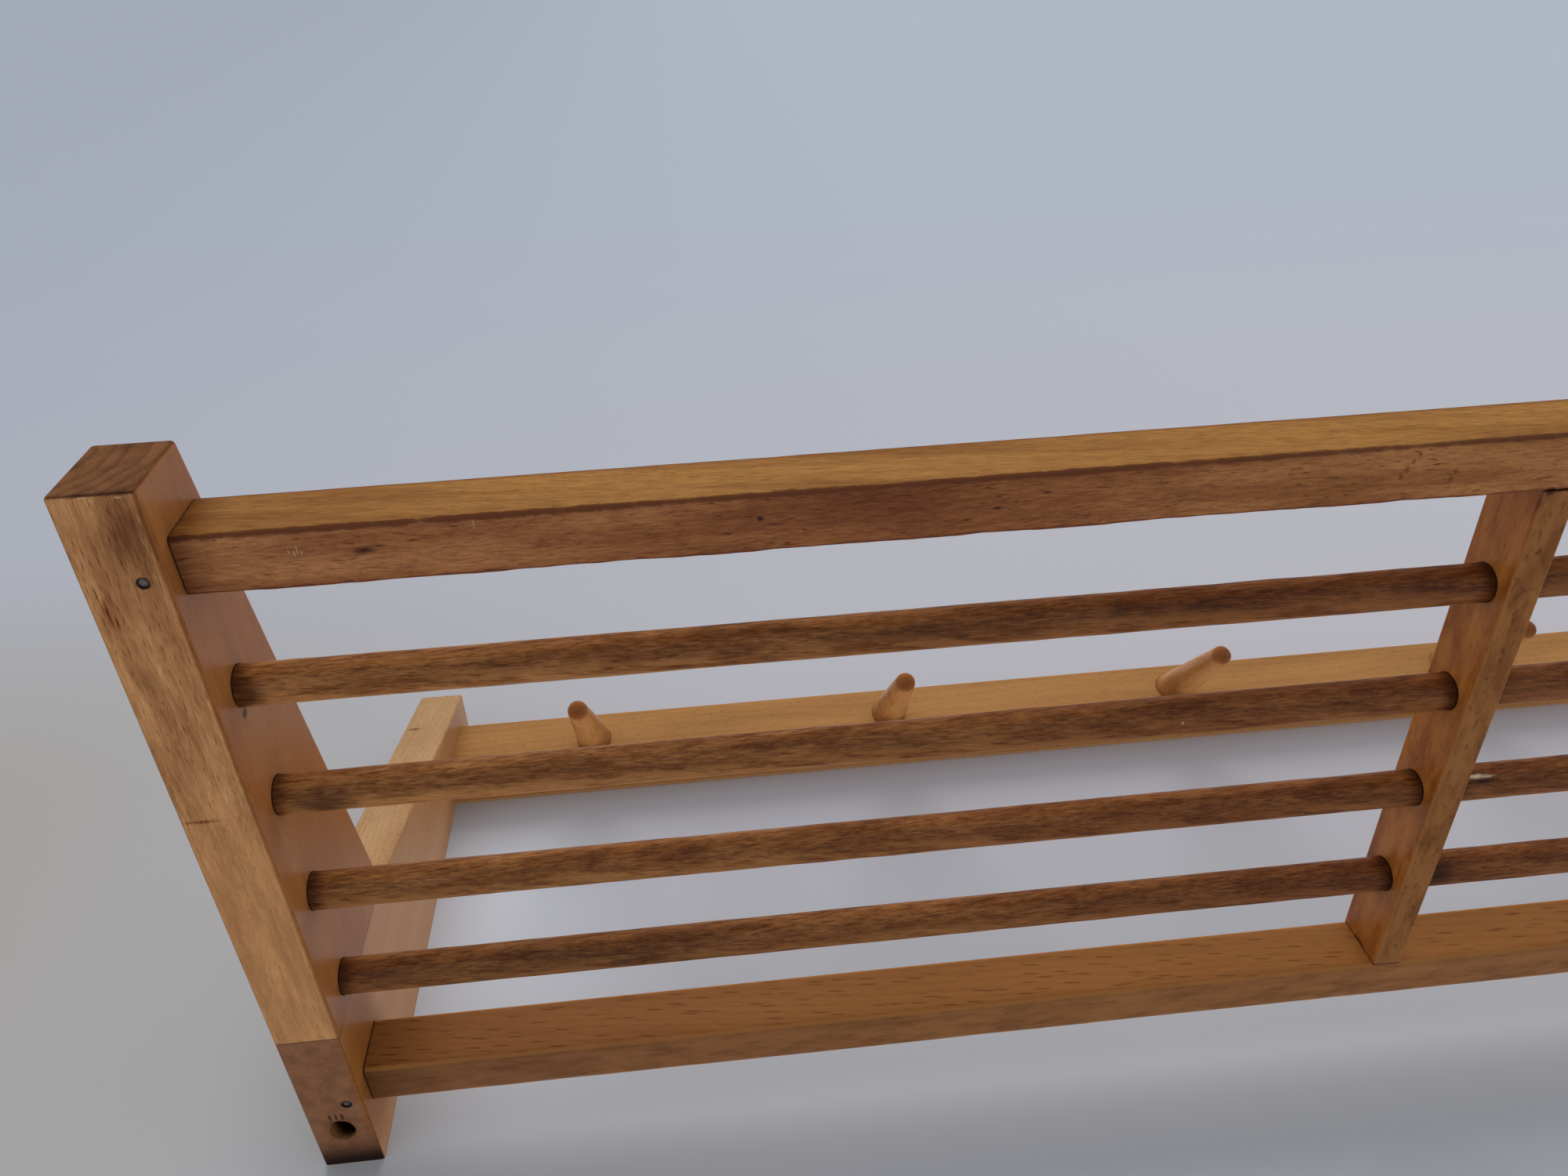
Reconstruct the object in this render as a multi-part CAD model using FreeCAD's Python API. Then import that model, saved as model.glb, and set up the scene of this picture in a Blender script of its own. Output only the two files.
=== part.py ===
import FreeCAD, Part
import math
import os

# Wall coat rack with a hat shelf, in beech. Two tapered L brackets carry a front and a rear
# rail, round shelf dowels threaded through a crossbar, and a rail of leaning coat pegs.
# Lengths are in millimetres. +X runs along the rack and +Z is up. The wall is the plane
# y = 0 and the room is on its -Y side. The origin is the centre of the peg rail's back face.

# Brackets: a wall leg and a shelf arm of planed board, dowelled into a right angle
CLEAR_LENGTH = 872.0
BRACKET_THICKNESS = 25.0
BRACKET_HEIGHT = 285.0
SHELF_DEPTH = 321.5
LEG_HEAD_DEPTH = 81.0
LEG_FOOT_DEPTH = 30.0
ARM_ROOT_HEIGHT = 83.0
ARM_END_HEIGHT = 34.0
BRACKET_EASE = 1.5
CORNER_DOWEL_DIAMETER = 8.0
CORNER_DOWEL_LENGTH = 50.0
CORNER_DOWEL_COUNT = 2

# Wall screws: a bore that slants from each leg's top end down to the wall
SCREW_FROM_WALL = 23.0
SCREW_SLANT_DEG = 30.0
SCREW_HOLE_DIAMETER = 5.5
SCREW_HEAD_BORE_DIAMETER = 11.0
SCREW_HEAD_BORE_DEPTH = 20.0

# Shelf rails and the crossbar between them
RAIL_THICKNESS = 20.5
RAIL_HEIGHT = 25.5
RAIL_DROP = 7.5
RAIL_EASE = 2.0
FRONT_RAIL_SETBACK = 19.5
REAR_RAIL_STANDOFF = 29.5
CROSSBAR_THICKNESS = 12.2
CROSSBAR_EASE = 1.0
CROSSBAR_TENON_LENGTH = 8.0
CROSSBAR_TENON_SHOULDER = 3.0

# Shelf dowels
SHELF_DOWEL_DIAMETER = 14.4
SHELF_DOWEL_PITCH = 48.5
SHELF_DOWEL_SEAT = 12.0

# Peg rail and coat pegs
PEG_RAIL_THICKNESS = 20.5
PEG_RAIL_HEIGHT = 47.5
PEG_RAIL_RISE = 18.5
PEG_PITCH = 177.0
PEG_END_SPACE = 60.0
PEG_LEAN_DEG = 39.0
PEG_REACH = 81.0
PEG_ROOT_DIAMETER = 19.0
PEG_TIP_DIAMETER = 10.6
PEG_DOME_HEIGHT = 3.6
PEG_BACK_WALL = 4.0

# Joinery shared by the rails, and the nails that pin the shelf rails' tenons
TENON_LENGTH = 14.0
TENON_SHOULDER = 5.0
GLUE_GAP = 0.1
DOWEL_CHAMFER = 1.0
NAIL_LENGTH = 25.0
NAIL_DIAMETER = 1.8
NAIL_HEAD_DIAMETER = 3.4
NAIL_HEAD_THICKNESS = 1.0
NAIL_SINK = 0.6
NAIL_GAP = 0.05

# Places that follow from the sizes
INNER_X = CLEAR_LENGTH / 2
TOP_Z = BRACKET_HEIGHT - PEG_RAIL_RISE - PEG_RAIL_HEIGHT / 2
FRONT_RAIL_OUT = SHELF_DEPTH - FRONT_RAIL_SETBACK - RAIL_THICKNESS
CROSSBAR_BACK = REAR_RAIL_STANDOFF + RAIL_THICKNESS
SHELF_DOWEL_DROP = RAIL_DROP + RAIL_HEIGHT / 2
SHELF_DOWEL_COUNT = int((FRONT_RAIL_OUT - CROSSBAR_BACK) / SHELF_DOWEL_PITCH)
PEG_RAIL_DROP = BRACKET_HEIGHT - PEG_RAIL_RISE - PEG_RAIL_HEIGHT
PEG_COUNT = int((CLEAR_LENGTH - 2 * PEG_END_SPACE) / PEG_PITCH) + 1


def at(x, out, down):
    """Point at x along the rack, out from the wall and down from the arms' top faces."""
    return FreeCAD.Vector(x, -out, TOP_Z - down)


def block(x_span, out_span, down_span):
    """Square-edged block between two values each of x, out and down."""
    corner = at(x_span[0], out_span[1], down_span[1])
    width = x_span[1] - x_span[0]
    depth = out_span[1] - out_span[0]
    height = down_span[1] - down_span[0]
    return Part.makeBox(width, depth, height, corner)


def rod(start, end, diameter):
    """Round bar between the centres of its two ends."""
    run = end - start
    return Part.makeCylinder(diameter / 2, run.Length, start, run)


def chamfered_rod(start, end, diameter):
    """Wooden dowel with its two end rims broken."""
    bar = rod(start, end, diameter)
    rims = [edge for edge in bar.Edges if edge.Closed]
    return bar.makeChamfer(DOWEL_CHAMFER, rims)


def mirrored(shape):
    """The same piece at the other end of the rack."""
    return shape.mirror(FreeCAD.Vector(0, 0, 0), FreeCAD.Vector(1, 0, 0))


def evenly(centre, pitch, count):
    """Places of a row of like pieces, spread about its centre."""
    return [centre + pitch * (index - (count - 1) / 2) for index in range(count)]


def ease_along(shape, direction, radius):
    """Round the straight edges of a bar that run along a direction."""
    edges = [edge for edge in shape.Edges
             if abs(edge.tangentAt(edge.FirstParameter).dot(direction)) > 0.999]
    return shape.makeFillet(radius, edges)


def tenon(out, drop, thickness, height, gap=0.0):
    """Stub tenon on the +X end of a rail; with a gap it is the mortise in the bracket."""
    return block(
        (INNER_X - gap, INNER_X + TENON_LENGTH + gap),
        (out + TENON_SHOULDER - gap, out + thickness - TENON_SHOULDER + gap),
        (drop + TENON_SHOULDER - gap, drop + height - TENON_SHOULDER + gap),
    )


def rail(out, drop, thickness, height):
    """Eased rail between the brackets, with a stub tenon at each end."""
    bar = block((-INNER_X, INNER_X), (out, out + thickness), (drop, drop + height))
    bar = ease_along(bar, FreeCAD.Vector(1, 0, 0), RAIL_EASE)
    end = tenon(out, drop, thickness, height)
    return bar.fuse([end, mirrored(end)])


def nail(rail_out, gap=0.0):
    """Flat-headed nail down through a +X bracket into a shelf rail's tenon; with a gap, its hole."""
    x = INNER_X + TENON_LENGTH / 2
    out = rail_out + RAIL_THICKNESS / 2
    head_top = 0.0 if gap else NAIL_SINK
    head_base = NAIL_SINK + NAIL_HEAD_THICKNESS
    head = rod(at(x, out, head_top), at(x, out, head_base), NAIL_HEAD_DIAMETER + 2 * gap)
    shank = rod(at(x, out, head_top), at(x, out, NAIL_SINK + NAIL_LENGTH + gap), NAIL_DIAMETER + 2 * gap)
    return head.fuse(shank).removeSplitter()


def corner_dowel_drops():
    """Heights of the corner dowels, spread in the joint below the shelf dowels' holes."""
    top = SHELF_DOWEL_DROP + SHELF_DOWEL_DIAMETER / 2
    step = (ARM_ROOT_HEIGHT - top) / (CORNER_DOWEL_COUNT + 1)
    return [top + step * (index + 1) for index in range(CORNER_DOWEL_COUNT)]


def corner_dowel_ends(drop, gap=0.0):
    """Centres of the ends of a dowel across the +X bracket's joint; with a gap, of its bore."""
    x = INNER_X + BRACKET_THICKNESS / 2
    reach = CORNER_DOWEL_LENGTH / 2 + gap
    return at(x, LEG_HEAD_DEPTH - reach, drop), at(x, LEG_HEAD_DEPTH + reach, drop)


def corner_dowels():
    """Hidden dowels across the +X bracket's joint between leg and arm."""
    return [chamfered_rod(*corner_dowel_ends(drop), CORNER_DOWEL_DIAMETER)
            for drop in corner_dowel_drops()]


def corner_dowel_holes():
    """Bores for the corner dowels, shared by the leg and the arm."""
    return [rod(*corner_dowel_ends(drop, GLUE_GAP), CORNER_DOWEL_DIAMETER + 2 * GLUE_GAP)
            for drop in corner_dowel_drops()]


def bracket_board(outline):
    """Board of the +X bracket from its side outline, eased on the edges clear of wall and joint."""
    points = [at(INNER_X, out, down) for out, down in outline]
    side = Part.Face(Part.makePolygon(points + points[:1]))
    board = side.extrude(FreeCAD.Vector(BRACKET_THICKNESS, 0, 0))
    kept_sharp = (0.0, -LEG_HEAD_DEPTH)
    edges = [edge for edge in board.Edges
             if not any(all(abs(vertex.Y - y) < 1e-6 for vertex in edge.Vertexes) for y in kept_sharp)]
    return board.makeFillet(BRACKET_EASE, edges)


def wall_screw_bore():
    """Slanted bore of the +X leg: a wide mouth for the screw's head, then its shank's way to the wall."""
    x = INNER_X + BRACKET_THICKNESS / 2
    slant = math.radians(SCREW_SLANT_DEG)
    step_out = math.sin(slant)
    step_down = math.cos(slant)
    mouth = at(x, SCREW_FROM_WALL, 0)
    above = at(x, SCREW_FROM_WALL + SCREW_HEAD_BORE_DEPTH * step_out, -SCREW_HEAD_BORE_DEPTH * step_down)
    seat = at(x, SCREW_FROM_WALL - SCREW_HEAD_BORE_DEPTH * step_out, SCREW_HEAD_BORE_DEPTH * step_down)
    behind = at(x, -SCREW_FROM_WALL, 2 * SCREW_FROM_WALL / math.tan(slant))
    return rod(above, seat, SCREW_HEAD_BORE_DIAMETER).fuse(rod(mouth, behind, SCREW_HOLE_DIAMETER))


def wall_leg():
    """Upright of the +X bracket, with its screw bore, mortises and dowel bores."""
    leg = bracket_board([
        (0, 0),
        (LEG_HEAD_DEPTH, 0),
        (LEG_HEAD_DEPTH, ARM_ROOT_HEIGHT),
        (LEG_FOOT_DEPTH, BRACKET_HEIGHT),
        (0, BRACKET_HEIGHT),
    ])
    return leg.cut([
        wall_screw_bore(),
        tenon(REAR_RAIL_STANDOFF, RAIL_DROP, RAIL_THICKNESS, RAIL_HEIGHT, GLUE_GAP),
        tenon(0, PEG_RAIL_DROP, PEG_RAIL_THICKNESS, PEG_RAIL_HEIGHT, GLUE_GAP),
        nail(REAR_RAIL_STANDOFF, NAIL_GAP),
    ] + corner_dowel_holes())


def shelf_arm():
    """Tapered arm of the +X bracket, with blind holes for the shelf dowels and front rail."""
    arm = bracket_board([
        (LEG_HEAD_DEPTH, 0),
        (SHELF_DEPTH, 0),
        (SHELF_DEPTH, ARM_END_HEIGHT),
        (LEG_HEAD_DEPTH, ARM_ROOT_HEIGHT),
    ])
    return arm.cut([
        tenon(FRONT_RAIL_OUT, RAIL_DROP, RAIL_THICKNESS, RAIL_HEIGHT, GLUE_GAP),
        nail(FRONT_RAIL_OUT, NAIL_GAP),
    ] + shelf_dowel_holes() + corner_dowel_holes())


def shelf_dowel_outs():
    """Distances of the shelf dowels from the wall, spread midway between the rails."""
    return evenly((CROSSBAR_BACK + FRONT_RAIL_OUT) / 2, SHELF_DOWEL_PITCH, SHELF_DOWEL_COUNT)


def shelf_dowel_ends(out, gap=0.0):
    """Centres of a shelf dowel's two ends; with a gap, of its bore."""
    end = INNER_X + SHELF_DOWEL_SEAT + gap
    return at(-end, out, SHELF_DOWEL_DROP), at(end, out, SHELF_DOWEL_DROP)


def shelf_dowel(out):
    """Round bar of the shelf, seated in both arms."""
    return chamfered_rod(*shelf_dowel_ends(out), SHELF_DOWEL_DIAMETER)


def shelf_dowel_holes():
    """Bores for the shelf dowels, through the crossbar and blind in the arms."""
    return [rod(*shelf_dowel_ends(out, GLUE_GAP), SHELF_DOWEL_DIAMETER + 2 * GLUE_GAP)
            for out in shelf_dowel_outs()]


def crossbar_tenons(gap=0.0):
    """Stub tenons at the crossbar's two ends; with a gap they are the mortises in the rails."""
    half = CROSSBAR_THICKNESS / 2 - CROSSBAR_TENON_SHOULDER + gap
    reach = CROSSBAR_TENON_LENGTH + gap
    downs = (RAIL_DROP + TENON_SHOULDER - gap, RAIL_DROP + RAIL_HEIGHT - TENON_SHOULDER + gap)
    rear = block((-half, half), (CROSSBAR_BACK - reach, CROSSBAR_BACK + gap), downs)
    front = block((-half, half), (FRONT_RAIL_OUT - gap, FRONT_RAIL_OUT + reach), downs)
    return [rear, front]


def crossbar():
    """Bar at mid-length that ties the rails and steadies the shelf dowels."""
    half = CROSSBAR_THICKNESS / 2
    bar = block((-half, half), (CROSSBAR_BACK, FRONT_RAIL_OUT), (RAIL_DROP, RAIL_DROP + RAIL_HEIGHT))
    bar = ease_along(bar, FreeCAD.Vector(0, 1, 0), CROSSBAR_EASE)
    return bar.fuse(crossbar_tenons()).cut(shelf_dowel_holes())


def shelf_rail(out):
    """Front or rear rail of the shelf, mortised for the crossbar and drilled for its nails."""
    hole = nail(out, NAIL_GAP)
    bar = rail(out, RAIL_DROP, RAIL_THICKNESS, RAIL_HEIGHT)
    return bar.cut(crossbar_tenons(GLUE_GAP) + [hole, mirrored(hole)])


def peg_axis():
    """Direction of a peg, up and out from the wall."""
    lean = math.radians(PEG_LEAN_DEG)
    return FreeCAD.Vector(0, -math.cos(lean), math.sin(lean))


def peg_root(x):
    """Where a peg's axis leaves the rail, at mid-height of its front face."""
    return at(x, PEG_RAIL_THICKNESS, PEG_RAIL_DROP + PEG_RAIL_HEIGHT / 2)


def peg_seat():
    """Length of a peg inside the rail, which keeps some wood behind the hole."""
    lean = math.radians(PEG_LEAN_DEG)
    depth = PEG_RAIL_THICKNESS - PEG_BACK_WALL - PEG_ROOT_DIAMETER / 2 * math.sin(lean)
    return depth / math.cos(lean)


def coat_peg(x):
    """Turned peg: a straight seat, a taper from the rail's face, and a domed tip."""
    root = PEG_ROOT_DIAMETER / 2
    tip = PEG_TIP_DIAMETER / 2
    taper_start = root * math.tan(math.radians(PEG_LEAN_DEG))
    dome_base = PEG_REACH - PEG_DOME_HEIGHT
    dome_radius = (tip ** 2 + PEG_DOME_HEIGHT ** 2) / (2 * PEG_DOME_HEIGHT)
    dome_centre = PEG_REACH - dome_radius
    half_angle = math.atan2(tip, dome_base - dome_centre) / 2
    dome_mid = FreeCAD.Vector(
        dome_radius * math.sin(half_angle), 0, dome_centre + dome_radius * math.cos(half_angle))
    outline = [
        FreeCAD.Vector(0, 0, -peg_seat()),
        FreeCAD.Vector(root - DOWEL_CHAMFER, 0, -peg_seat()),
        FreeCAD.Vector(root, 0, DOWEL_CHAMFER - peg_seat()),
        FreeCAD.Vector(root, 0, taper_start),
        FreeCAD.Vector(tip, 0, dome_base),
    ]
    crown = FreeCAD.Vector(0, 0, PEG_REACH)
    edges = list(Part.makePolygon(outline).Edges)
    edges.append(Part.Arc(outline[-1], dome_mid, crown).toShape())
    edges.append(Part.makeLine(crown, outline[0]))
    peg = Part.Face(Part.Wire(edges)).revolve(FreeCAD.Vector(0, 0, 0), FreeCAD.Vector(0, 0, 1), 360)
    turn = FreeCAD.Rotation(FreeCAD.Vector(0, 0, 1), peg_axis())
    peg.Placement = FreeCAD.Placement(peg_root(x), turn)
    return peg


def peg_hole(x):
    """Slanted blind hole for a peg, open through the rail's front face."""
    start = peg_root(x) - peg_axis() * (peg_seat() + GLUE_GAP)
    return rod(start, peg_root(x) + peg_axis() * PEG_ROOT_DIAMETER, PEG_ROOT_DIAMETER + 2 * GLUE_GAP)


def peg_rail():
    """Rail on the wall between the legs, drilled for the pegs."""
    bar = rail(0, PEG_RAIL_DROP, PEG_RAIL_THICKNESS, PEG_RAIL_HEIGHT)
    return bar.cut([peg_hole(x) for x in evenly(0, PEG_PITCH, PEG_COUNT)])


def rack():
    """Every piece of the rack by name, with like fasteners grouped."""
    pieces = {"right_wall_leg": wall_leg(), "right_shelf_arm": shelf_arm()}
    pieces["left_wall_leg"] = mirrored(pieces["right_wall_leg"])
    pieces["left_shelf_arm"] = mirrored(pieces["right_shelf_arm"])
    pieces["right_corner_dowels"] = Part.makeCompound(corner_dowels())
    pieces["left_corner_dowels"] = Part.makeCompound([mirrored(dowel) for dowel in corner_dowels()])
    for name, out in (("front_rail", FRONT_RAIL_OUT), ("rear_rail", REAR_RAIL_STANDOFF)):
        pin = nail(out)
        pieces[name] = shelf_rail(out)
        pieces[name + "_nails"] = Part.makeCompound([pin, mirrored(pin)])
    pieces["crossbar"] = crossbar()
    for number, out in enumerate(shelf_dowel_outs(), 1):
        pieces["shelf_dowel_%d" % number] = shelf_dowel(out)
    pieces["peg_rail"] = peg_rail()
    for number, x in enumerate(evenly(0, PEG_PITCH, PEG_COUNT), 1):
        pieces["coat_peg_%d" % number] = coat_peg(x)
    return pieces


os.makedirs("parts", exist_ok=True)
for node, shape in rack().items():
    shape.exportStep("parts/" + node + ".step")
    print(node, len(shape.Solids), shape.isValid(), round(shape.Volume / 1000, 2))
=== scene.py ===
import math

import bpy
from mathutils import Matrix, Vector


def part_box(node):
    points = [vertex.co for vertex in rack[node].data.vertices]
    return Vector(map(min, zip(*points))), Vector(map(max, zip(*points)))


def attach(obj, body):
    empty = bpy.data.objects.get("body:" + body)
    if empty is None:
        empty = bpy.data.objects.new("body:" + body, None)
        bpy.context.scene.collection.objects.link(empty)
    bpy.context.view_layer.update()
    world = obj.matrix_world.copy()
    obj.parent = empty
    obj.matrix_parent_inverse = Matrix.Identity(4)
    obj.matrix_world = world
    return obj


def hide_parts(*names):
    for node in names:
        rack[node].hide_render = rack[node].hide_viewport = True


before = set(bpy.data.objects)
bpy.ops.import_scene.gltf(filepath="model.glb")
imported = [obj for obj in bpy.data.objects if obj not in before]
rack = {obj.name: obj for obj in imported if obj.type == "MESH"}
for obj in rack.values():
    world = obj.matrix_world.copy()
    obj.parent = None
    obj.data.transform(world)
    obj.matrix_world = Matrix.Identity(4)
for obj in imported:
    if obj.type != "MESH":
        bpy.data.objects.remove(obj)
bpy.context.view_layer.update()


# Wall legs: two planed beech boards, deep at the head and tapering to the foot, clear lacquered and gone
# honey brown. The slanted bore for the wall screw opens in the end grain at the top, where the lacquer has
# worn off and dirt has got in.
MM = 1000.0
UP = (0, 0, 1)
TO_WALL = (0, 1, 0)
TO_ROOM = (0, -1, 0)
TO_RIGHT = (1, 0, 0)
TO_LEFT = (-1, 0, 0)


def node_box(name):
    """A node's lowest and highest corner, in mm."""
    return [[round(part * MM, 2) for part in corner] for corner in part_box(name)]


def tint(red, green, blue):
    """A colour in screen levels from 0 to 255, as the linear values that shaders take."""
    parts = [((part / 255 + 0.055) / 1.055) ** 2.4 for part in (red, green, blue)]
    return (*parts, 1.0)


def add_node(tree, kind, sockets=None, **settings):
    node = tree.nodes.new(kind)
    for name, value in settings.items():
        setattr(node, name, value)
    for key, value in (sockets or {}).items():
        if isinstance(value, bpy.types.NodeSocket):
            tree.links.new(value, node.inputs[key])
        else:
            node.inputs[key].default_value = value
    return node


def node_out(tree, kind, sockets=None, **settings):
    return add_node(tree, kind, sockets, **settings).outputs[0]


def calc(tree, operation, *values):
    return node_out(tree, "ShaderNodeMath", dict(enumerate(values)), operation=operation)


def vector_calc(tree, operation, *values):
    node = add_node(tree, "ShaderNodeVectorMath", dict(enumerate(values)), operation=operation)
    return node.outputs["Value"] if operation in ("LENGTH", "DOT_PRODUCT") else node.outputs["Vector"]


def ease_step(tree, value, low, high):
    """A smooth rise from 0 at low to 1 at high, or a fall where low is the larger."""
    sockets = {0: value, 1: low, 2: high, 3: 0.0, 4: 1.0}
    return node_out(tree, "ShaderNodeMapRange", sockets, interpolation_type="SMOOTHSTEP")


def noise(tree, vector, detail=2.0, roughness=0.5, scale=1.0, wave=0.0):
    sockets = {"Vector": vector, "Scale": scale, "Detail": detail, "Roughness": roughness,
               "Distortion": wave}
    return node_out(tree, "ShaderNodeTexNoise", sockets)


def drawn_noise(tree, vector, waves, detail=2.0, roughness=0.5, wave=0.0):
    """Noise with its own number of waves per unit along each axis."""
    return noise(tree, vector_calc(tree, "MULTIPLY", vector, waves), detail, roughness, wave=wave)


def lay(tree, mask, under, over, strength=1.0, blend_type="MIX"):
    factor = calc(tree, "MULTIPLY", mask, strength)
    sockets = {0: factor, 6: under, 7: over}
    return add_node(tree, "ShaderNodeMix", sockets, data_type="RGBA", blend_type=blend_type).outputs[2]


def new_group(name, inputs, outputs):
    tree = bpy.data.node_groups.new(name, "ShaderNodeTree")
    for side, sockets in (("INPUT", inputs), ("OUTPUT", outputs)):
        for socket_name, kind in sockets.items():
            tree.interface.new_socket(socket_name, in_out=side, socket_type="NodeSocket" + kind)
    inlet = tree.nodes.new("NodeGroupInput").outputs
    outlet = tree.nodes.new("NodeGroupOutput").inputs
    return tree, inlet, outlet


def use(tree, group, **sockets):
    named = {name.replace("_", " "): value for name, value in sockets.items()}
    return add_node(tree, "ShaderNodeGroup", named, node_tree=group).outputs


def build_beech_grain():
    # Waves per mm along and across the grain, and how far the rings wander, in mm.
    wander_waves = (0.005, 0.03, 0.03)
    cloud_waves = (0.009, 0.06, 0.06)
    fibre_waves = (0.24, 1.5, 1.5)
    hair_waves = (0.32, 2.3, 2.3)
    wander_reach = 18.0
    fleck_slimness = (1.0, 2.4, 2.4)
    seed_step = (91.0, 57.0, 33.0)
    inputs = {"Vector": "Vector", "Pale": "Color", "Deep": "Color", "Fleck": "Color", "Pith": "Vector",
              "Ring Width": "Float", "Fleck Cell": "Vector", "Fleck Amount": "Float", "Streak": "Float",
              "Seed": "Float"}
    outputs = {"Color": "Color", "Ring": "Float", "Height": "Float"}
    tree, inlet, outlet = new_group("beech_grain", inputs, outputs)
    board = vector_calc(tree, "MULTIPLY_ADD", inlet["Seed"], seed_step, inlet["Vector"])
    wander = drawn_noise(tree, board, wander_waves)
    from_pith = vector_calc(tree, "SUBTRACT", inlet["Vector"], inlet["Pith"])
    across = vector_calc(tree, "MULTIPLY", from_pith, (0, 1, 1))
    radius = calc(tree, "MULTIPLY_ADD", wander, wander_reach, vector_calc(tree, "LENGTH", across))
    turn = calc(tree, "FRACT", calc(tree, "DIVIDE", radius, inlet["Ring Width"]))
    ring = calc(tree, "MULTIPLY", ease_step(tree, turn, 0.35, 0.95), ease_step(tree, turn, 1.0, 0.95))
    cloud = drawn_noise(tree, board, cloud_waves, 3.0, 0.55)
    fibre = drawn_noise(tree, board, fibre_waves, 4.0, 0.66, wave=0.5)
    hair = ease_step(tree, drawn_noise(tree, board, hair_waves, 2.0, 0.6, wave=0.3), 0.54, 0.68)
    spread = vector_calc(tree, "DIVIDE", board, inlet["Fleck Cell"])
    cells = add_node(tree, "ShaderNodeTexVoronoi", {"Vector": spread, "Scale": 1.0, "Randomness": 1.0})
    draw = node_out(tree, "ShaderNodeSeparateColor", {0: cells.outputs["Color"]})
    kept = calc(tree, "LESS_THAN", draw, inlet["Fleck Amount"])
    reach = vector_calc(tree, "SUBTRACT", spread, cells.outputs["Position"])
    reach = vector_calc(tree, "LENGTH", vector_calc(tree, "MULTIPLY", reach, fleck_slimness))
    fleck = calc(tree, "MULTIPLY", ease_step(tree, reach, 0.66, 0.16), kept)
    depth = calc(tree, "MULTIPLY_ADD", calc(tree, "SUBTRACT", cloud, 0.5), 1.1, 0.45)
    lines = calc(tree, "MULTIPLY", calc(tree, "SUBTRACT", fibre, 0.5), inlet["Streak"])
    depth = calc(tree, "MULTIPLY_ADD", lines, 4.6, depth)
    depth = calc(tree, "MULTIPLY_ADD", ring, 0.16, depth)
    bounded = node_out(tree, "ShaderNodeClamp", {0: depth})
    colour = lay(tree, bounded, inlet["Pale"], inlet["Deep"])
    colour = lay(tree, calc(tree, "MULTIPLY", hair, inlet["Streak"]), colour, inlet["Fleck"], 0.55)
    colour = lay(tree, fleck, colour, inlet["Fleck"], 0.75)
    tree.links.new(colour, outlet["Color"])
    tree.links.new(ring, outlet["Ring"])
    relief = calc(tree, "MULTIPLY_ADD", fibre, 0.8, calc(tree, "MULTIPLY", fleck, -0.6))
    tree.links.new(relief, outlet["Height"])
    return tree


def build_grime_patch():
    seed_step = (7.3, 3.9, 5.1)
    inputs = {"Vector": "Vector", "Along": "Float", "Across": "Float", "Cover": "Float", "Softness": "Float",
              "Seed": "Float"}
    tree, inlet, outlet = new_group("grime_patch", inputs, {"Mask": "Float"})
    sides = {0: inlet["Along"], 1: inlet["Across"], 2: inlet["Across"]}
    size = node_out(tree, "ShaderNodeCombineXYZ", sides)
    spread = vector_calc(tree, "DIVIDE", inlet["Vector"], size)
    shifted = vector_calc(tree, "MULTIPLY_ADD", inlet["Seed"], seed_step, spread)
    cloud = noise(tree, shifted, 4.0, 0.65)
    middle = calc(tree, "MULTIPLY_ADD", inlet["Cover"], -0.5, 0.75)
    low = calc(tree, "SUBTRACT", middle, inlet["Softness"])
    high = calc(tree, "ADD", middle, inlet["Softness"])
    tree.links.new(ease_step(tree, cloud, low, high), outlet["Mask"])
    return tree


def build_stain_spot():
    fray_waves = (0.14, 0.8, 0.8)
    inputs = {"Vector": "Vector", "Grain": "Vector", "Centre": "Vector", "Radii": "Vector", "Ragged": "Float",
              "Core": "Float"}
    tree, inlet, outlet = new_group("stain_spot", inputs, {"Mask": "Float"})
    reach = vector_calc(tree, "SUBTRACT", inlet["Vector"], inlet["Centre"])
    reach = vector_calc(tree, "LENGTH", vector_calc(tree, "DIVIDE", reach, inlet["Radii"]))
    fray = drawn_noise(tree, inlet["Grain"], fray_waves, 4.0, 0.7)
    reach = calc(tree, "MULTIPLY_ADD", calc(tree, "SUBTRACT", fray, 0.5), inlet["Ragged"], reach)
    tree.links.new(ease_step(tree, reach, 1.0, inlet["Core"]), outlet["Mask"])
    return tree


def build_worn_arris():
    fray_scale = 0.16
    inputs = {"Vector": "Vector", "Low": "Vector", "High": "Vector", "Width": "Float", "Ragged": "Float"}
    tree, inlet, outlet = new_group("worn_arris", inputs, {"Mask": "Float"})
    from_low = vector_calc(tree, "ABSOLUTE", vector_calc(tree, "SUBTRACT", inlet["Vector"], inlet["Low"]))
    from_high = vector_calc(tree, "ABSOLUTE", vector_calc(tree, "SUBTRACT", inlet["High"], inlet["Vector"]))
    near = vector_calc(tree, "MINIMUM", from_low, from_high)
    near = add_node(tree, "ShaderNodeSeparateXYZ", {0: near}).outputs
    smaller = calc(tree, "MINIMUM", near[0], near[1])
    larger = calc(tree, "MAXIMUM", near[0], near[1])
    second = calc(tree, "MAXIMUM", smaller, calc(tree, "MINIMUM", larger, near[2]))
    edge = calc(tree, "SUBTRACT", noise(tree, inlet["Vector"], 4.0, 0.7, fray_scale), 0.5)
    second = calc(tree, "MULTIPLY_ADD", edge, inlet["Ragged"], second)
    width = inlet["Width"]
    tree.links.new(ease_step(tree, second, width, calc(tree, "MULTIPLY", width, 0.45)), outlet["Mask"])
    return tree


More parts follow.
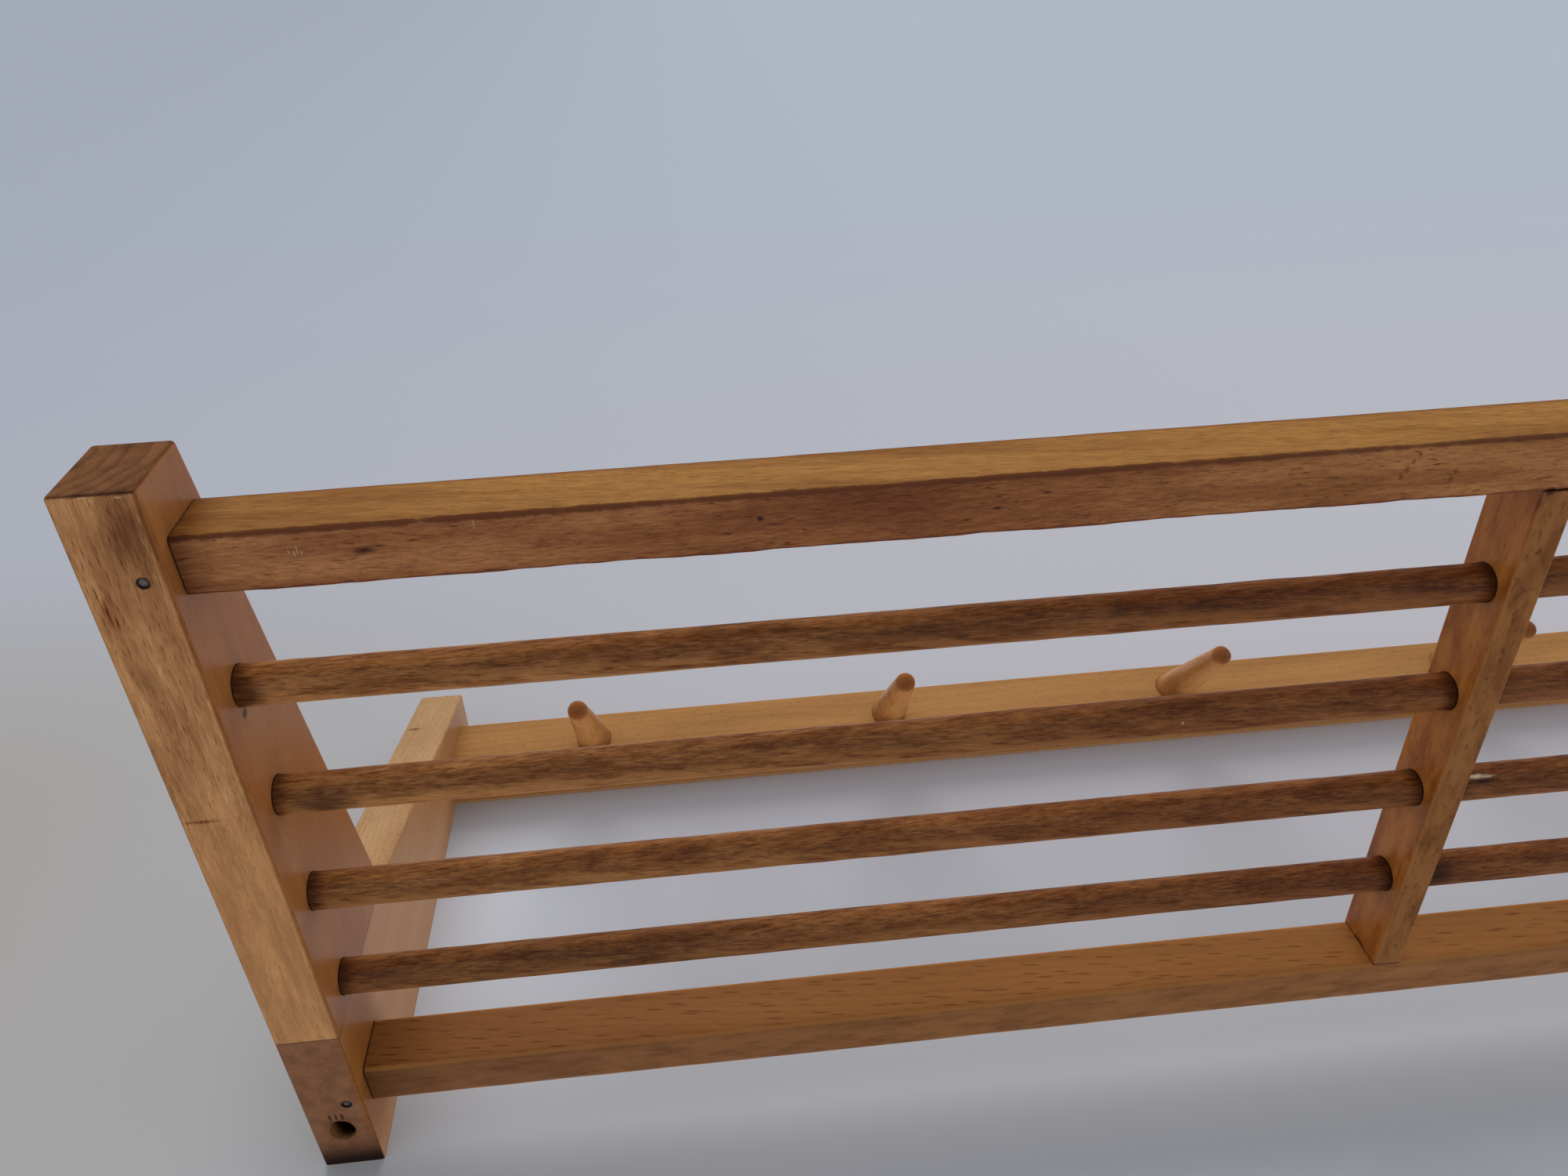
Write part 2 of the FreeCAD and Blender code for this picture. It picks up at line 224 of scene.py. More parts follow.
beech_grain = build_beech_grain()
grime_patch = build_grime_patch()
stain_spot = build_stain_spot()
worn_arris = build_worn_arris()
GRAIN_TURN = {"X": (0, 0, 0), "Y": (0, 0, -math.pi / 2), "Z": (0, math.pi / 2, 0)}
COAT_ROUGHNESS = 0.22
LACQUER_SPECULAR = 0.16
RELIEF_STRENGTH = 0.6


class WoodFinish:
    """One lacquered piece's material in the making: its place in mm, its grain, and its marks."""

    def __init__(self, name, along, pale, deep, fleck, stretch=1.0, **grain):
        self.material = bpy.data.materials.new(name)
        self.material.use_nodes = True
        self.tree = self.material.node_tree
        self.tree.nodes.clear()
        self.shader = self.tree.nodes.new("ShaderNodeBsdfPrincipled")
        add_node(self.tree, "ShaderNodeOutputMaterial", {"Surface": self.shader.outputs[0]})
        here = self.tree.nodes.new("ShaderNodeTexCoord").outputs["Object"]
        scale = add_node(self.tree, "ShaderNodeVectorMath", {0: here, "Scale": MM}, operation="SCALE")
        self.place = scale.outputs["Vector"]
        turn = GRAIN_TURN[along] if isinstance(along, str) else along
        self.grain = node_out(self.tree, "ShaderNodeMapping", {"Vector": self.place, "Rotation": turn})
        self.normal = self.tree.nodes.new("ShaderNodeNewGeometry").outputs["Normal"]
        drawn_out = vector_calc(self.tree, "DIVIDE", self.grain, (stretch, 1.0, 1.0))
        wood = use(self.tree, beech_grain, Vector=drawn_out, Pale=pale, Deep=deep, Fleck=fleck, **grain)
        self.colour = wood["Color"]
        self.ring = wood["Ring"]
        self.height = wood["Height"]

    def facing(self, direction, low=0.35, high=0.8):
        return ease_step(self.tree, vector_calc(self.tree, "DOT_PRODUCT", self.normal, direction), low, high)

    def run(self, direction):
        return vector_calc(self.tree, "DOT_PRODUCT", self.place, direction)

    def along(self, direction, low, high):
        return ease_step(self.tree, self.run(direction), low, high)

    def both(self, *masks):
        product = masks[0]
        for mask in masks[1:]:
            product = calc(self.tree, "MULTIPLY", product, mask)
        return product

    def patch(self, along, across, cover, softness, seed):
        return use(self.tree, grime_patch, Vector=self.grain, Along=along, Across=across, Cover=cover,
                   Softness=softness, Seed=seed)["Mask"]

    def spot(self, centre, radii, ragged=0.6, core=0.5):
        return use(self.tree, stain_spot, Vector=self.place, Grain=self.grain, Centre=centre, Radii=radii,
                   Ragged=ragged, Core=core)["Mask"]

    def arris(self, low, high, width, ragged=1.0):
        return use(self.tree, worn_arris, Vector=self.place, Low=low, High=high, Width=width,
                   Ragged=ragged)["Mask"]

    def stain(self, mask, over, strength=1.0):
        self.colour = lay(self.tree, mask, self.colour, over, strength)

    def soak(self, mask, over, strength=1.0):
        self.colour = lay(self.tree, mask, self.colour, over, strength, "MULTIPLY")

    def finish(self, gloss, dull, dull_mask, coat=0.06, relief=0.06):
        tree = self.tree
        roughness = calc(tree, "MULTIPLY_ADD", dull_mask, dull - gloss, gloss)
        tree.links.new(self.colour, self.shader.inputs["Base Color"])
        tree.links.new(roughness, self.shader.inputs["Roughness"])
        self.shader.inputs["Coat Weight"].default_value = coat
        self.shader.inputs["Coat Roughness"].default_value = COAT_ROUGHNESS
        self.shader.inputs["Specular IOR Level"].default_value = LACQUER_SPECULAR
        bump = {"Strength": RELIEF_STRENGTH, "Distance": relief / MM, "Height": self.height}
        tree.links.new(node_out(tree, "ShaderNodeBump", bump), self.shader.inputs["Normal"])
        return self.material


def dress(node_name, material):
    for slot in rack[node_name].material_slots:
        slot.material = material


(INNER_X, JOINT_Y, FOOT_Z), (OUTER_X, WALL_Y, TOP_Z) = node_box("right_wall_leg")
FAR = 1.0e5
TOOL_TICKS_X = (446.5, 449, 451.5)
legs = WoodFinish(
    "leg_beech", "Z", pale=tint(184, 150, 108), deep=tint(148, 109, 70), fleck=tint(122, 78, 44),
    Pith=(0, -95, 520), Ring_Width=3.4, Fleck_Cell=(3.4, 1.0, 1.0), Fleck_Amount=0.35, Streak=0.28, Seed=2.0)
leg_top = legs.facing(UP)
# Painted shade: both side faces are painted redder and darker, standing in for shade and warm light thrown
# back from the rails.
leg_sides = calc(legs.tree, "MAXIMUM", legs.facing(TO_RIGHT), legs.facing(TO_LEFT))
legs.stain(leg_sides, tint(184, 124, 78), 0.42)
legs.stain(leg_top, tint(132, 86, 60), 0.8)
bare_end = legs.patch(10, 7, cover=0.45, softness=0.2, seed=3.0)
legs.soak(legs.both(leg_top, bare_end), tint(190, 172, 162), 0.6)
legs.soak(legs.both(leg_top, legs.along(TO_WALL, -20, -1)), tint(60, 44, 38))
for side in (1, -1):
    for tick_x in TOOL_TICKS_X:
        tick = legs.spot((side * tick_x, -32, TOP_Z), (0.8, 3.4, 2), ragged=1.4, core=0.2)
        legs.soak(tick, tint(130, 108, 98))
    hole_rim = legs.spot((side * 449, -24, TOP_Z), (9, 11, 4), ragged=1.0, core=0.0)
    legs.soak(hole_rim, tint(170, 150, 140))
    # Painted shade: the wall inside the screw's bore is painted dark.
    bore_wall_shade = legs.spot((side * 448.5, -18, 228), (8.5, 13, 14), ragged=0.3, core=0.7)
    legs.soak(bore_wall_shade, tint(92, 70, 56))
    # Painted shade: a dark ring in the hole round the sunk nail's head.
    nail_hole_shade = legs.spot((side * 442.9, -39.8, TOP_Z), (2.7, 2.7, 2), ragged=0.3, core=0.7)
    legs.soak(nail_hole_shade, tint(60, 46, 40))
    # Painted shade and painted warm reflection: an amber patch on the inner side where the rear rail stands
    # beside it.
    rail_bounce_shade = legs.spot((side * INNER_X, -48, 228), (3, 56, 34), ragged=0.3, core=0.4)
    legs.stain(rail_bounce_shade, tint(142, 82, 24), 0.82)
    leg_box = ((side * INNER_X, -FAR, FOOT_Z), (side * OUTER_X, WALL_Y, TOP_Z))
    legs.soak(legs.arris(*leg_box, width=1.0, ragged=1.4), tint(160, 138, 120), 0.4)
foot_smudge = legs.spot((455, -42, 3), (6, 14, 2.6), ragged=1.0, core=0.0)
legs.soak(foot_smudge, tint(176, 148, 122))
leg_material = legs.finish(gloss=0.36, dull=0.6, dull_mask=leg_top)
for leg in ("right_wall_leg", "left_wall_leg"):
    dress(leg, leg_material)


# Shelf arms: tapered beech boards glued and dowelled square to the legs, with their long faces across the
# shelf's ends. The upper edge and the front end are rubbed and darkened by handling, a dark ring surrounds
# each dowel let into them, and their inner faces carry a painted warm reflection and shade.
def build_dark_seat_ring():
    fray_scale = 0.4
    inputs = {"Vector": "Vector", "Seat": "Vector", "Pitch": "Vector", "Radii": "Vector", "Width": "Float"}
    tree, inlet, outlet = new_group("dark_seat_ring", inputs, {"Mask": "Float"})
    reach = vector_calc(tree, "SUBTRACT", inlet["Vector"], inlet["Seat"])
    half = vector_calc(tree, "MULTIPLY", inlet["Pitch"], (0.5, 0.5, 0.5))
    other = vector_calc(tree, "MULTIPLY", inlet["Pitch"], (-0.5, -0.5, -0.5))
    reach = vector_calc(tree, "WRAP", reach, half, other)
    reach = vector_calc(tree, "LENGTH", vector_calc(tree, "DIVIDE", reach, inlet["Radii"]))
    fray = calc(tree, "SUBTRACT", noise(tree, inlet["Vector"], 3.0, 0.6, fray_scale), 0.5)
    reach = calc(tree, "MULTIPLY_ADD", fray, inlet["Width"], reach)
    outer = calc(tree, "ADD", inlet["Width"], 1.0)
    tree.links.new(ease_step(tree, reach, outer, 1.0), outlet["Mask"])
    return tree


dark_seat_ring = build_dark_seat_ring()
(_, ARM_FRONT_Y, ARM_LOW_Z), _ = node_box("right_shelf_arm")
dowel_boxes = [node_box("shelf_dowel_%d" % number) for number in (1, 2, 3, 4)]
DOWEL_YS = [round((low[1] + high[1]) / 2, 2) for low, high in dowel_boxes]
DOWEL_PITCH = DOWEL_YS[0] - DOWEL_YS[1]
(_, _, dowel_low_z), (DOWEL_END_X, _, dowel_high_z) = dowel_boxes[0]
DOWEL_Z = round((dowel_low_z + dowel_high_z) / 2, 2)
DOWEL_RADIUS = round((dowel_high_z - dowel_low_z) / 2, 2)
SEAT_RING_WIDTH = 0.08
dowel_seats = {"Seat": (0, DOWEL_YS[0], DOWEL_Z), "Pitch": (FAR, DOWEL_PITCH, FAR),
               "Radii": (FAR, DOWEL_RADIUS, DOWEL_RADIUS)}
arms = WoodFinish(
    "arm_beech", "Y", pale=tint(216, 163, 109), deep=tint(162, 111, 69), fleck=tint(114, 69, 36),
    stretch=1.5, Pith=(0, -530, 205), Ring_Width=5.4, Fleck_Cell=(2.6, 0.95, 0.95), Fleck_Amount=0.5,
    Streak=0.36, Seed=5.0)
arm_top = arms.facing(UP)
arm_end = arms.facing(TO_ROOM)
from_middle = calc(arms.tree, "ABSOLUTE", arms.run(TO_RIGHT))
arm_inner = ease_step(arms.tree, from_middle, INNER_X + 1.5, INNER_X + 0.5)
# Painted warm reflection and shade: the inner faces are painted a deeper orange.
arms.stain(arm_inner, tint(142, 81, 30), 0.74)
arms.stain(arm_end, tint(102, 61, 33), 0.82)
arms.soak(arms.both(arm_end, arms.ring), tint(184, 160, 142), 0.42)
end_grime = arms.patch(60, 11, cover=0.4, softness=0.2, seed=8.0)
arms.soak(arms.both(arm_end, end_grime), tint(190, 172, 158), 0.7)
top_grime = arms.patch(40, 8, cover=0.45, softness=0.14, seed=1.0)
arms.soak(arms.both(arm_top, top_grime), tint(196, 184, 172), 0.8)
arms.stain(arms.both(arm_top, arms.along(TO_WALL, -240, -150)), tint(200, 146, 94), 0.35)
hand_grime = arms.spot((442, -309, TOP_Z), (10, 25, 6), ragged=1.0, core=0.1)
arms.soak(hand_grime, tint(166, 146, 138))
nicks = (((455.8, -283, TOP_Z), (0.7, 7, 3)), ((454.4, -279, TOP_Z), (0.6, 4, 3)),
         ((457, -289, TOP_Z), (0.6, 4, 3)))
for centre, radii in nicks:
    arms.soak(arms.spot(centre, radii, ragged=1.6, core=0.0), tint(140, 108, 86))
nick_shade = arms.spot((455.5, -281, TOP_Z), (4, 13, 3), ragged=1.6, core=0.0)
arms.soak(nick_shade, tint(196, 172, 152))
bruise = arms.spot((454, -198.4, TOP_Z), (9, 1.2, 3), ragged=1.1, core=0.0)
arms.soak(bruise, tint(172, 146, 126))
left_grime = arms.spot((-446, -301, TOP_Z), (8, 18, 6), ragged=1.0, core=0.15)
arms.soak(left_grime, tint(140, 120, 110))
for side in (1, -1):
    # Painted shade: a near-black ring in the hole round the sunk nail's head.
    nail_hole_shade = arms.spot((side * 442.9, -291.8, TOP_Z), (2.4, 2.4, 2), ragged=0.25, core=0.75)
    arms.stain(nail_hole_shade, tint(22, 16, 13), 0.9)
    arm_box = ((side * INNER_X, -FAR, ARM_LOW_Z), (side * OUTER_X, FAR, TOP_Z))
    arms.soak(arms.arris(*arm_box, width=1.2, ragged=1.8), tint(150, 124, 104), 0.35)
end_edge = ((-FAR, ARM_FRONT_Y, -FAR), (FAR, FAR, TOP_Z))
arms.soak(arms.arris(*end_edge, width=1.0, ragged=1.4), tint(140, 104, 84), 0.75)
dowel_nick = arms.spot((INNER_X, -229.5, 226), (1.5, 2.6, 3), ragged=1.0, core=0.2)
arms.soak(dowel_nick, tint(90, 70, 58))
# A dark ring round each dowel's seat in the inner faces.
seat_ring = use(arms.tree, dark_seat_ring, Vector=arms.place, Width=SEAT_RING_WIDTH, **dowel_seats)["Mask"]
arms.stain(arms.both(seat_ring, arm_inner), tint(48, 26, 14), 0.75)
arms.soak(arms.along(TO_WALL, JOINT_Y - 0.7, JOINT_Y - 0.1), tint(96, 72, 54))
for scratch_x, scratch_y in ((450.5, -320.5), (440.5, -320.0)):
    scratch = arms.spot((scratch_x, scratch_y, TOP_Z - 0.6), (2.6, 0.35, 1.2), ragged=1.2, core=0.4)
    arms.stain(scratch, tint(206, 184, 156), 0.6)
arm_rubbed = arms.facing((0, -0.7, 0.7), 0.3, 0.65)
arm_material = arms.finish(gloss=0.34, dull=0.62, dull_mask=arm_rubbed)
for arm in ("right_shelf_arm", "left_shelf_arm"):
    dress(arm, arm_material)


# Corner dowels: plain beech pins across the joint of leg and arm, two to a bracket.
# They are glued into blind bores of both boards, so they are out of sight in the finished rack.
pins = WoodFinish(
    "pin_beech", "Y", pale=tint(196, 150, 98), deep=tint(164, 116, 68), fleck=tint(128, 84, 46),
    Pith=(0, 20, 9), Ring_Width=2.2, Fleck_Cell=(3.0, 1.0, 1.0), Fleck_Amount=0.4, Streak=0.5, Seed=9.0)
pin_material = pins.finish(gloss=0.6, dull=0.7, dull_mask=pins.facing(TO_ROOM), coat=0.0)
for node_name in rack:
    if "corner_dowel" in node_name:
        dress(node_name, pin_material)


# Front and rear rails: square beech bars let into the arms and legs with stub tenons and nailed from above.
# The front rail's arrises are rubbed dark and uneven, and the shoulders have shrunk a hair away from the
# arms and legs. The shade in these gaps is painted near black on the ends of both rails.
def start_shape(name, inputs):
    tree = bpy.data.node_groups.new(name, "GeometryNodeTree")
    tree.interface.new_socket("Geometry", in_out="OUTPUT", socket_type="NodeSocketGeometry")
    for socket_name, kind in inputs.items():
        tree.interface.new_socket(socket_name, in_out="INPUT", socket_type="NodeSocket" + kind)
    return tree, tree.nodes.new("NodeGroupInput").outputs


def end_shape(tree, geometry, material):
    smooth = node_out(tree, "GeometryNodeSetShadeSmooth", {"Geometry": geometry})
    real = node_out(tree, "GeometryNodeRealizeInstances", {"Geometry": smooth})
    done = node_out(tree, "GeometryNodeSetMaterial", {"Geometry": real, "Material": material})
    tree.links.new(done, tree.nodes.new("NodeGroupOutput").inputs[0])
    return tree


def shape_piece(name, tree, sizes):
    piece = bpy.data.objects.new(name, bpy.data.meshes.new(name + "_start"))
    bpy.context.scene.collection.objects.link(piece)
    modifier = piece.modifiers.new(name, "NODES")
    modifier.node_group = tree
    for socket in tree.interface.items_tree:
        if socket.in_out == "INPUT":
            modifier[socket.identifier] = sizes[socket.name]
    graph = bpy.context.evaluated_depsgraph_get()
    mesh = bpy.data.meshes.new_from_object(piece.evaluated_get(graph), depsgraph=graph)
    piece.modifiers.remove(modifier)
    piece.data = mesh
    return piece


def combine(tree, x, y, z):
    return node_out(tree, "ShaderNodeCombineXYZ", {0: x, 1: y, 2: z})


def centre_line(tree, half, steps):
    """A line along X, from -half to half, with evenly spaced points."""
    start = combine(tree, calc(tree, "MULTIPLY", half, -1.0), 0.0, 0.0)
    ends = {"Start": start, "End": combine(tree, half, 0.0, 0.0)}
    line = node_out(tree, "GeometryNodeCurvePrimitiveLine", ends)
    return node_out(tree, "GeometryNodeResampleCurve", {"Curve": line, "Count": steps})


def sweep_along(tree, line, profile, **more):
    sockets = {"Curve": line, "Profile Curve": profile, "Fill Caps": True, **more}
    return node_out(tree, "GeometryNodeCurveToMesh", sockets)


def push_out(tree, geometry, outward, distance):
    scaled = add_node(tree, "ShaderNodeVectorMath", {0: outward, "Scale": distance}, operation="SCALE")
    moved = {"Geometry": geometry, "Offset": scaled.outputs["Vector"]}
    return node_out(tree, "GeometryNodeSetPosition", moved)


def build_rubbed_bar():
    # Points along the bar and round it, and waves of the rubbing per metre.
    steps_along = 460
    steps_round = 72
    rub_waves = (42.0, 45.0, 45.0)
    inputs = {"Length": "Float", "Depth": "Float", "Height": "Float", "Ease": "Float", "Centre": "Vector",
              "Rub": "Float", "Tenon": "Vector", "Seed": "Float", "Material": "Material"}
    tree, inlet = start_shape("rubbed_bar", inputs)
    half = calc(tree, "MULTIPLY", inlet["Length"], 0.5)
    line = centre_line(tree, half, steps_along)
    line = node_out(tree, "GeometryNodeSetCurveNormal", {"Curve": line}, mode="Z_UP")
    section = {"Width": inlet["Depth"], "Height": inlet["Height"]}
    profile = node_out(tree, "GeometryNodeCurvePrimitiveQuadrilateral", section)
    fillet = {"Curve": profile, "Count": 4, "Radius": inlet["Ease"]}
    profile = node_out(tree, "GeometryNodeFilletCurve", fillet, mode="POLY")
    profile = node_out(tree, "GeometryNodeResampleCurve", {"Curve": profile, "Count": steps_round})
    bar = sweep_along(tree, line, profile)
    here = tree.nodes.new("GeometryNodeInputPosition").outputs[0]
    half_depth = calc(tree, "MULTIPLY", inlet["Depth"], 0.5)
    half_height = calc(tree, "MULTIPLY", inlet["Height"], 0.5)
    share = vector_calc(tree, "DIVIDE", here, combine(tree, 1.0, half_depth, half_height))
    part = add_node(tree, "ShaderNodeSeparateXYZ", {0: share}).outputs
    near_y = ease_step(tree, calc(tree, "ABSOLUTE", part[1]), 0.7, 0.95)
    near_z = ease_step(tree, calc(tree, "ABSOLUTE", part[2]), 0.7, 0.95)
    upper = calc(tree, "MULTIPLY_ADD", ease_step(tree, part[2], -0.2, 0.2), 0.8, 0.2)
    clear_of_bar = ease_step(tree, calc(tree, "ABSOLUTE", part[0]), 0.008, 0.02)
    corner = calc(tree, "MULTIPLY", near_y, near_z)
    corner = calc(tree, "MULTIPLY", corner, calc(tree, "MULTIPLY", upper, clear_of_bar))
    shifted = vector_calc(tree, "ADD", here, combine(tree, inlet["Seed"], 0.0, 0.0))
    rub = drawn_noise(tree, shifted, rub_waves)
    depth = calc(tree, "MAXIMUM", calc(tree, "SUBTRACT", rub, 0.4), 0.0)
    depth = calc(tree, "MULTIPLY", depth, inlet["Rub"])
    depth = calc(tree, "MULTIPLY", calc(tree, "MULTIPLY", depth, -1.0), corner)
    outward = combine(tree, 0.0, calc(tree, "SIGN", part[1]), calc(tree, "SIGN", part[2]))
    bar = push_out(tree, bar, outward, depth)
    cheek = node_out(tree, "GeometryNodeMeshCube", {"Size": inlet["Tenon"]})
    tenon_length = node_out(tree, "ShaderNodeSeparateXYZ", {0: inlet["Tenon"]})
    middle = calc(tree, "MULTIPLY_ADD", tenon_length, 0.5, half)
    joined = tree.nodes.new("GeometryNodeJoinGeometry")
    tree.links.new(bar, joined.inputs[0])
    for side in (1.0, -1.0):
        at = combine(tree, calc(tree, "MULTIPLY", middle, side), 0.0, 0.0)
        tenon = node_out(tree, "GeometryNodeTransform", {"Geometry": cheek, "Translation": at})
        tree.links.new(tenon, joined.inputs[0])
    whole = {"Geometry": joined.outputs[0], "Translation": inlet["Centre"]}
    return end_shape(tree, node_out(tree, "GeometryNodeTransform", whole), inlet["Material"])


rubbed_bar = build_rubbed_bar()
front_rail_low, front_rail_high = node_box("front_rail")
rear_rail_low, rear_rail_high = node_box("rear_rail")
FRONT_RAIL_Y = (front_rail_low[1], front_rail_high[1])
REAR_RAIL_Y = (rear_rail_low[1], rear_rail_high[1])
RAIL_LOW_Z = front_rail_low[2]
RAIL_HIGH_Z = front_rail_high[2]
RAIL_MID_Z = (RAIL_LOW_Z + RAIL_HIGH_Z) / 2
RAIL_DEPTH = FRONT_RAIL_Y[1] - FRONT_RAIL_Y[0]
RAIL_HEIGHT = RAIL_HIGH_Z - RAIL_LOW_Z
RAIL_TENON_END = front_rail_high[0]
SHOULDER_GAP = 0.3
RAIL_SHOULDER = INNER_X - SHOULDER_GAP
TENON_DEPTH = 12.5
TENON_HEIGHT = 17.5
PAST_END = 600
RAIL_GRAIN_TURN = (0, math.radians(-5), 0)


def make_rail(name, ys, ease, rub, seed, material):
    sizes = {"Length": 2 * RAIL_SHOULDER / MM, "Depth": RAIL_DEPTH / MM, "Height": RAIL_HEIGHT / MM,
             "Ease": ease / MM, "Rub": rub / MM, "Seed": seed, "Material": material,
             "Centre": (0.0, sum(ys) / 2 / MM, RAIL_MID_Z / MM),
             "Tenon": ((RAIL_TENON_END - RAIL_SHOULDER) / MM, TENON_DEPTH / MM, TENON_HEIGHT / MM)}
    rail = shape_piece(name + "_bar", rubbed_bar, sizes)
    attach(rail, "root")
    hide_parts(name)


front = WoodFinish(
    "front_rail_beech", RAIL_GRAIN_TURN, pale=tint(187, 134, 66), deep=tint(131, 85, 36),
    fleck=tint(92, 53, 22), stretch=1.5, Pith=(0, -390, 60), Ring_Width=5.0, Fleck_Cell=(2.6, 1.2, 1.2),
    Fleck_Amount=0.4, Streak=0.44, Seed=1.0)
front_top = front.facing(UP)
front_face = front.facing(TO_ROOM)
front.stain(front_face, tint(164, 117, 64), 0.35)
face_hairs = front.patch(7, 1.0, cover=0.4, softness=0.09, seed=11.0)
front.soak(front.both(front_face, face_hairs), tint(196, 176, 160), 0.4)
front.stain(front_top, tint(174, 117, 90), 0.42)
worn_middle = front.spot((225, -292, RAIL_HIGH_Z), (150, 30, 30), ragged=0.6, core=0.0)
front.soak(front.both(front_top, worn_middle), tint(222, 208, 202))
front.stain(front.both(front_top, front.along(TO_RIGHT, 180, 30)), tint(172, 120, 66), 0.55)
top_clouds = front.patch(90, 9, cover=0.45, softness=0.16, seed=4.0)
front.soak(front.both(front_top, top_clouds), tint(214, 196, 190), 0.9)
top_hairs = front.patch(6, 0.7, cover=0.45, softness=0.1, seed=7.0)
front.soak(front.both(front_top, top_hairs), tint(190, 166, 156), 0.5)
top_knocks = front.patch(9, 1.4, cover=0.2, softness=0.05, seed=13.0)
front.soak(front.both(front_top, top_knocks), tint(150, 120, 102), 0.9)
front.soak(front.patch(110, 12, cover=0.35, softness=0.16, seed=6.0), tint(206, 190, 176), 0.8)
front_box = ((-PAST_END, FRONT_RAIL_Y[0], RAIL_LOW_Z), (PAST_END, FRONT_RAIL_Y[1], RAIL_HIGH_Z))
front.soak(front.arris(*front_box, width=1.8, ragged=2.0), tint(150, 118, 96), 0.7)
front_edge = ((-PAST_END, FRONT_RAIL_Y[0], -FAR), (PAST_END, FAR, RAIL_HIGH_Z))
broad_wear = front.both(front.arris(*front_edge, width=2.0, ragged=3.6), front.along(TO_RIGHT, 20, 170))
front.stain(broad_wear, tint(104, 54, 28), 0.82)
front.stain(front.arris(*front_edge, width=1.2, ragged=2.8), tint(98, 53, 26), 0.7)
lower_edge = ((-PAST_END, FRONT_RAIL_Y[0], RAIL_LOW_Z), (PAST_END, FAR, FAR))
lower_wear = front.both(front_face, front.arris(*lower_edge, width=3.2, ragged=2.4))
front.stain(lower_wear, tint(134, 84, 42), 0.5)
inner_edge = ((-PAST_END, -FAR, -FAR), (PAST_END, FRONT_RAIL_Y[1], RAIL_HIGH_Z))
clear_of_bar = ease_step(front.tree, calc(front.tree, "ABSOLUTE", front.run(TO_RIGHT)), 6.0, 9.0)
inner_wear = front.both(front.arris(*inner_edge, width=1.5, ragged=1.8), clear_of_bar)
front.stain(inner_wear, tint(100, 50, 28), 0.7)
bar_corner = front.spot((4.5, -282, RAIL_HIGH_Z), (3, 1.5, 2), ragged=1.0, core=0.2)
front.soak(bar_corner, tint(120, 88, 68))
front.soak(front.along(TO_RIGHT, 420, 440), tint(176, 160, 150))
for side in (1, -1):
    shoulder = (side * RAIL_SHOULDER, sum(FRONT_RAIL_Y) / 2, RAIL_MID_Z)
    # Painted shade: the rail's end is painted near black at each shoulder, as the shade in the gap.
    gap_shade = front.spot(shoulder, (0.5, FAR, FAR), ragged=0.8, core=0.2)
    front.stain(gap_shade, tint(34, 20, 12), 0.9)
scuffs = (((381, -293, 235), (5, 2.2, 2)), ((262, -293.5, 235), (1.5, 1.5, 2)), ((188, -291, 235), (2, 1, 2)))
for centre, radii in scuffs:
    front.soak(front.spot(centre, radii, ragged=1.0, core=0.1), tint(120, 92, 76))
for shift_x, shift_y, reach in ((-2.0, 0.4, 1.5), (-0.9, -0.7, 2.6), (0.1, 0.5, 1.9), (1.6, -0.2, 1.2)):
    scratch = (401.2 + shift_x, -294.2 + shift_y, RAIL_HIGH_Z)
    front.stain(front.spot(scratch, (0.28, reach, 1), ragged=0.9, core=0.2), tint(196, 168, 136), 0.5)
dents = ((53.2, -298.8), (54.7, -296.3), (56.1, -293.8), (57.6, -291.2), (39.5, -291.5), (40.6, -289.0))
for x, y in dents:
    dent = front.spot((x, y, RAIL_HIGH_Z), (1.1, 1.9, 1.5), ragged=1.0, core=0.0)
    front.soak(dent, tint(196, 164, 142))
edge_scratch = front.spot((347.6, -299.2, RAIL_HIGH_Z), (0.3, 2.0, 1), ragged=0.5, core=0.3)
front.stain(edge_scratch, tint(190, 160, 128), 0.5)
front_material = front.finish(gloss=0.38, dull=0.55, dull_mask=front_top)
make_rail("front_rail", FRONT_RAIL_Y, ease=0.8, rub=1.5, seed=0.31, material=front_material)

rear = WoodFinish(
    "rear_rail_beech", RAIL_GRAIN_TURN, pale=tint(152, 101, 53), deep=tint(124, 77, 37),
    fleck=tint(96, 54, 25), Pith=(0, -40, -160), Ring_Width=4.0, Fleck_Cell=(9.0, 3.0, 2.2),
    Fleck_Amount=0.95, Streak=0.15, Seed=3.0)
rear_top = rear.facing(UP)
rear.stain(rear_top, tint(158, 108, 66), 0.5)
rear_clouds = rear.patch(24, 7, cover=0.4, softness=0.2, seed=2.0)
rear.soak(rear.both(rear_top, rear_clouds), tint(190, 178, 168), 0.8)
rear.soak(rear.along(TO_RIGHT, 120, 420), tint(236, 234, 248))
rear.soak(rear.along(TO_RIGHT, 390, 434), tint(214, 208, 190))
rear_box = ((-PAST_END, REAR_RAIL_Y[0], RAIL_LOW_Z), (PAST_END, REAR_RAIL_Y[1], RAIL_HIGH_Z))
rear.stain(rear.arris(*rear_box, width=2.0, ragged=1.4), tint(168, 112, 52), 0.55)
for side in (1, -1):
    shoulder = (side * RAIL_SHOULDER, sum(REAR_RAIL_Y) / 2, RAIL_MID_Z)
    # Painted shade: the rail's end is painted near black at each shoulder, as the shade in the gap.
    gap_shade = rear.spot(shoulder, (0.6, FAR, FAR), ragged=0.8, core=0.2)
    rear.stain(gap_shade, tint(30, 18, 12), 0.92)
rear_material = rear.finish(gloss=0.36, dull=0.5, dull_mask=rear_top)
make_rail("rear_rail", REAR_RAIL_Y, ease=2.0, rub=0.5, seed=0.77, material=rear_material)


